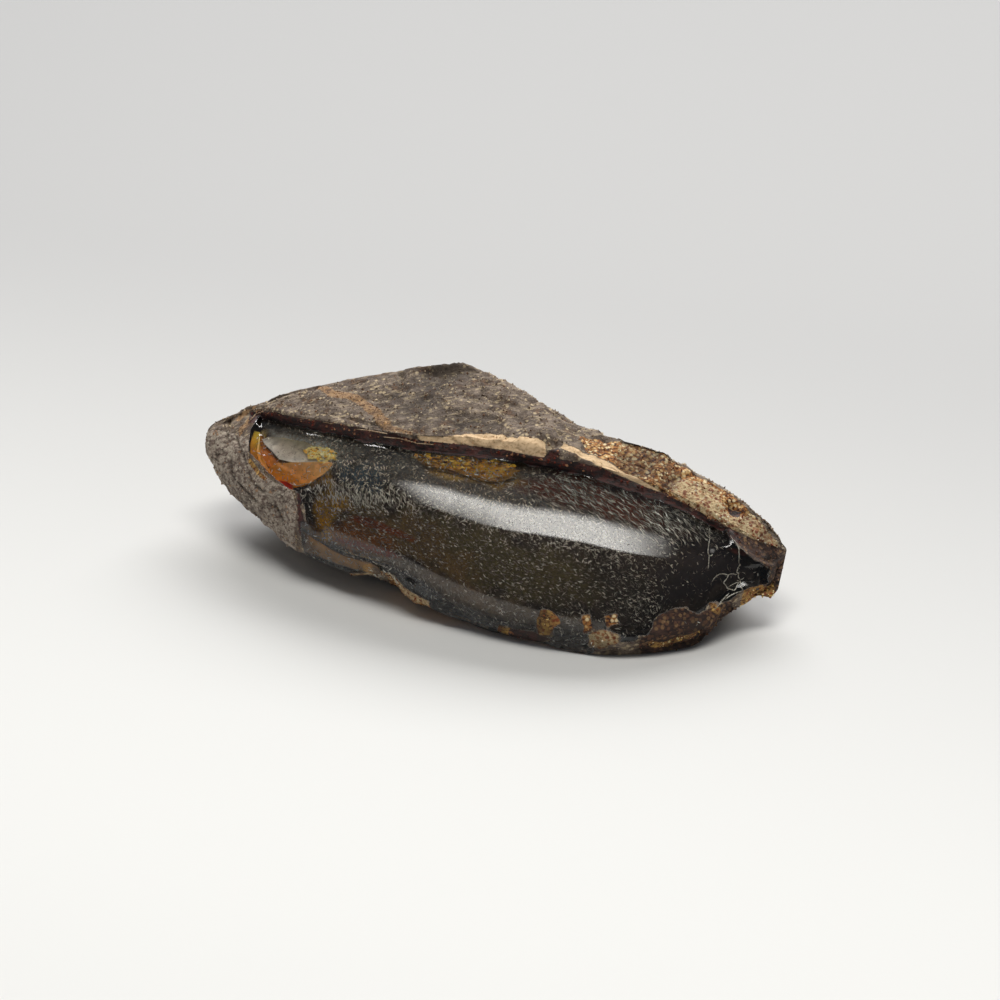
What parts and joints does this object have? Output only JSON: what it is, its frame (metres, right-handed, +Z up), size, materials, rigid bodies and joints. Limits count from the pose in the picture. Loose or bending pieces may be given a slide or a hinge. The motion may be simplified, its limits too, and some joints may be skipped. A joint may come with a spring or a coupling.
{
  "type": "raw amber piece",
  "caption": "Long lump of dark see-through amber lying on a flat underside, polished to a glossy dome in front and a smaller window behind, with rough rind over the rest.",
  "frame": {"origin": "on the surface that the piece rests on, under the middle of its bounding box", "axes": "+X along the piece to its pointed end, +Y to its back, away from the polished front dome, +Z up"},
  "size_m": [0.1152, 0.0494, 0.0329],
  "materials": {
    "amber": "polished dark amber in its two windows and dull grey-brown rind elsewhere"
  },
  "bodies": {
    "root": {"amber_piece": "amber"}
  },
  "joints": []
}
